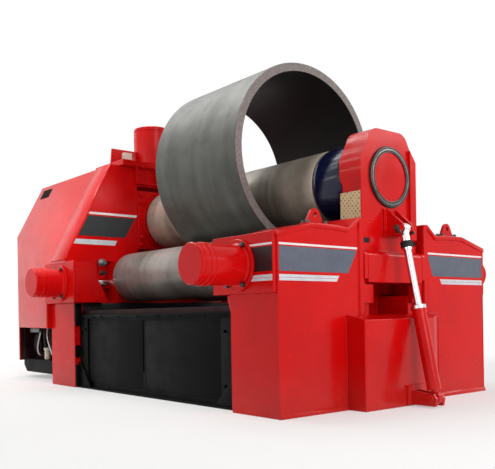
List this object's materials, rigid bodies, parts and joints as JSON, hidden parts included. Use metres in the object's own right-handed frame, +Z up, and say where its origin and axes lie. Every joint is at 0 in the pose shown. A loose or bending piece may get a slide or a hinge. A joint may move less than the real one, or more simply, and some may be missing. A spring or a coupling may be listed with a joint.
{
  "type": "plate rolling machine",
  "caption": "Heavy plate rolling machine with sliding side rolls, a top roll, a tilting drop-end yoke and a rolled shell in place",
  "frame": {"origin": "on the floor, midway between the two end frames and on the machine's centre plane", "axes": "+X along the rolls towards the drop end, -Y the front, +Z up"},
  "size_m": [6.41, 4.01, 3.4644],
  "materials": {
    "red_paint": "gloss machine enamel",
    "dark_red_paint": "shaded satin enamel",
    "black_paint": "satin black enamel",
    "navy_paint": "gloss navy enamel",
    "roll_steel": "worn ground steel",
    "bearing_steel": "turned steel",
    "chrome": "hard chrome",
    "bronze": "dimpled bronze wear plate",
    "plate_steel": "dark mill scale"
  },
  "bodies": {
    "machine": {"drop_end_frame": "red_paint", "cheek_strips": "red_paint", "foot_box": "red_paint", "drop_mounting_plates": "red_paint", "drop_brackets": "red_paint", "front_drop_ram": "red_paint", "rear_drop_ram": "red_paint", "front_drive_ram": "red_paint", "rear_drive_ram": "red_paint", "tilt_clevis": "red_paint", "drive_column": "red_paint", "drive_mounting_plates": "red_paint", "drive_brackets": "red_paint", "drive_housing": "red_paint", "tower_shelf": "red_paint", "lift_ram": "red_paint", "tower_lugs": "red_paint", "housing_skid": "black_paint", "housing_core": "dark_red_paint", "centre_bed": "dark_red_paint", "bed_rails": "dark_red_paint", "side_panels": "black_paint", "lifting_lugs": "red_paint"},
    "top_carriage": {"neck_flange": "red_paint", "top_bearing_block": "red_paint", "hinge_shoes": "red_paint"},
    "top_roll": {"top_roll": "roll_steel", "top_roll_sleeve": "navy_paint"},
    "yoke": {"yoke": "red_paint", "yoke_ring": "bearing_steel", "yoke_wear_plates": "bronze", "crosshead": "red_paint", "tilt_bracket": "red_paint"},
    "front_carriage": {"front_drop_block": "red_paint", "front_drive_block": "red_paint", "front_piston_rods": "chrome"},
    "rear_carriage": {"rear_drop_block": "red_paint", "rear_drive_block": "red_paint", "rear_piston_rods": "chrome"},
    "front_roll": {"front_roll": "roll_steel"},
    "rear_roll": {"rear_roll": "roll_steel"},
    "tilt_barrel": {"tilt_barrel": "red_paint"},
    "tilt_rod": {"tilt_rod": "chrome"},
    "tilt_rod_end": {"tilt_rod_end": "chrome"},
    "rolled_shell": {"rolled_shell": "plate_steel"}
  },
  "joints": [
    {"name": "lift", "type": "slide", "parent": "machine", "child": "top_carriage", "axis": [0, 0, 1], "range_m": [-0.1, 0.04]},
    {"name": "top_roll_spin", "type": "hinge", "parent": "top_carriage", "child": "top_roll", "pos_m": [0, 0, 2.107], "axis": [1, 0, 0], "continuous": true},
    {"name": "yoke_tilt", "type": "hinge", "parent": "top_carriage", "child": "yoke", "pos_m": [2.135, 0, 1.3], "axis": [0, 1, 0], "range_deg": [0, 80]},
    {"name": "front_slide", "type": "slide", "parent": "machine", "child": "front_carriage", "axis": [0, -1, 0], "range_m": [0, 0.2]},
    {"name": "rear_slide", "type": "slide", "parent": "machine", "child": "rear_carriage", "axis": [0, 1, 0], "range_m": [0, 0.2]},
    {"name": "front_roll_spin", "type": "hinge", "parent": "front_carriage", "child": "front_roll", "pos_m": [0, -0.585, 1.34], "axis": [1, 0, 0], "continuous": true},
    {"name": "rear_roll_spin", "type": "hinge", "parent": "rear_carriage", "child": "rear_roll", "pos_m": [0, 0.585, 1.34], "axis": [1, 0, 0], "continuous": true},
    {"name": "tilt_barrel_swing", "type": "hinge", "parent": "machine", "child": "tilt_barrel", "pos_m": [2.6, 0, 0.085], "axis": [0, 1, 0], "range_deg": [0, 5.6]},
    {"name": "tilt_rod_stroke", "type": "slide", "parent": "tilt_barrel", "child": "tilt_rod", "axis": [-0.2077, 0, 0.9782], "range_m": [-0.427, 0]},
    {"name": "rod_end_stroke", "type": "slide", "parent": "tilt_rod", "child": "tilt_rod_end", "axis": [-0.2077, 0, 0.9782], "range_m": [-0.101, 0.041]},
    {"name": "shell_turn", "type": "hinge", "parent": "machine", "child": "rolled_shell", "pos_m": [0.34, 0, 2.48445], "axis": [1, 0, 0], "continuous": true}
  ],
  "couplings": [
    {"joint": "tilt_barrel_swing", "follows": "yoke_tilt", "ratio": 0.0682},
    {"joint": "tilt_rod_stroke", "follows": "yoke_tilt", "m_per_rad": -0.3049},
    {"joint": "rod_end_stroke", "follows": "lift", "ratio": 1}
  ]
}
